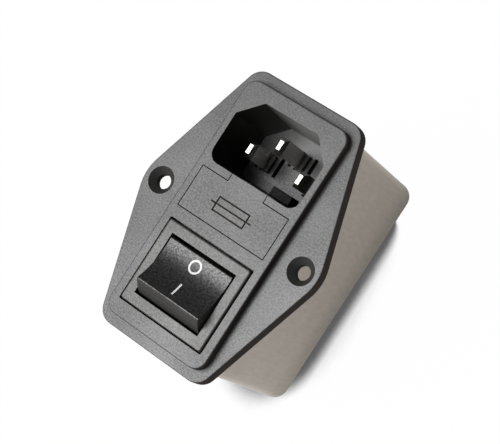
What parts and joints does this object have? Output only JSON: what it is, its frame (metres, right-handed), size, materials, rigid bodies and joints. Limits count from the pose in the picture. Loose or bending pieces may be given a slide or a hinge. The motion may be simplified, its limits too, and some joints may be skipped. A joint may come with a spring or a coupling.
{
  "type": "power inlet",
  "caption": "Panel power inlet with a fuse drawer, a rocker switch and a mains filter in a metal can behind a winged, countersunk flange.",
  "frame": {"origin": "midway between the two screw holes, on the flange's rear face, which lies on the panel", "axes": "+Z out of the panel towards the user, +Y from the switch to the inlet recess, +X across the flange"},
  "size_m": [0.0488, 0.0648, 0.0613],
  "materials": {
    "housing_plastic": "fine spark-eroded grain",
    "drawer_plastic": "fine spark-eroded grain",
    "bezel_plastic": "fine grain, softly rounded edges",
    "rocker_plastic": "satin",
    "mark_white": "plain",
    "can_steel": "satin plated sheet",
    "block_plastic": "plain",
    "insulating_paper": "smooth fibre sheet",
    "tinned_brass": "tin plated",
    "rivet_steel": "zinc plated",
    "board_laminate": "uncoated laminate",
    "ferrite": "matt coating",
    "winding_copper": "enamelled wire",
    "capacitor_yellow": "moulded case",
    "capacitor_blue": "dipped coating",
    "resistor_body": "coated body with no bands",
    "lead_wire": "tinned wire",
    "pin_nickel": "nickel plated",
    "fuse_glass": "clear",
    "plunger_plastic": "plain",
    "spring_steel": "drawn wire",
    "contact_copper": "plain",
    "contact_silver": "plain"
  },
  "bodies": {
    "inlet_body": {"front_housing": "housing_plastic", "switch_frame": "bezel_plastic", "filter_can": "can_steel", "terminal_block": "block_plastic", "insulating_sheet": "insulating_paper", "earth_tab": "tinned_brass", "earth_strap": "tinned_brass", "earth_rivet": "rivet_steel", "circuit_board": "board_laminate", "choke_base": "block_plastic", "choke_core": "ferrite", "choke_winding_line": "winding_copper", "choke_winding_neutral": "winding_copper", "x_capacitor": "capacitor_yellow", "x_capacitor_leads": "lead_wire", "y_capacitor_line": "capacitor_blue", "y_capacitor_line_leads": "lead_wire", "y_capacitor_neutral": "capacitor_blue", "y_capacitor_neutral_leads": "lead_wire", "bleed_resistor": "resistor_body", "resistor_leads": "lead_wire", "line_pin": "pin_nickel", "neutral_pin": "pin_nickel", "earth_pin": "pin_nickel", "line_tab": "tinned_brass", "neutral_tab": "tinned_brass", "fuse_contact_line": "tinned_brass", "fuse_contact_load": "tinned_brass", "fixed_contact_line": "contact_silver", "fixed_terminal_line": "tinned_brass", "pivot_terminal_line": "tinned_brass", "fixed_contact_neutral": "contact_silver", "fixed_terminal_neutral": "tinned_brass", "pivot_terminal_neutral": "tinned_brass"},
    "fuse_drawer_body": {"fuse_drawer": "drawer_plastic", "active_fuse_caps": "pin_nickel", "active_fuse_glass": "fuse_glass", "active_fuse_wire": "lead_wire", "spare_fuse_caps": "pin_nickel", "spare_fuse_glass": "fuse_glass", "spare_fuse_wire": "lead_wire"},
    "rocker_body": {"rocker": "rocker_plastic", "rocker_marks": "mark_white", "plunger_line": "plunger_plastic", "plunger_spring_line": "spring_steel", "plunger_neutral": "plunger_plastic", "plunger_spring_neutral": "spring_steel"},
    "line_blade_body": {"contact_blade_line": "contact_copper", "moving_contact_line": "contact_silver"},
    "neutral_blade_body": {"contact_blade_neutral": "contact_copper", "moving_contact_neutral": "contact_silver"}
  },
  "joints": [
    {"name": "rocker_tilt", "type": "hinge", "parent": "inlet_body", "child": "rocker_body", "pos_m": [0, -0.0158, 0.00295], "axis": [1, 0, 0], "range_deg": [0, 32.8]},
    {"name": "line_blade_tilt", "type": "hinge", "parent": "inlet_body", "child": "line_blade_body", "pos_m": [-0.0044, -0.0158, -0.00675], "axis": [1, 0, 0], "range_deg": [-12, 0]},
    {"name": "neutral_blade_tilt", "type": "hinge", "parent": "inlet_body", "child": "neutral_blade_body", "pos_m": [0.0044, -0.0158, -0.00675], "axis": [1, 0, 0], "range_deg": [-12, 0]},
    {"name": "fuse_drawer_slide", "type": "slide", "parent": "inlet_body", "child": "fuse_drawer_body", "axis": [0, 0, 1], "range_m": [0, 0.018]}
  ],
  "couplings": [
    {"joint": "line_blade_tilt", "follows": "rocker_tilt", "ratio": -0.3658},
    {"joint": "neutral_blade_tilt", "follows": "rocker_tilt", "ratio": -0.3658}
  ]
}
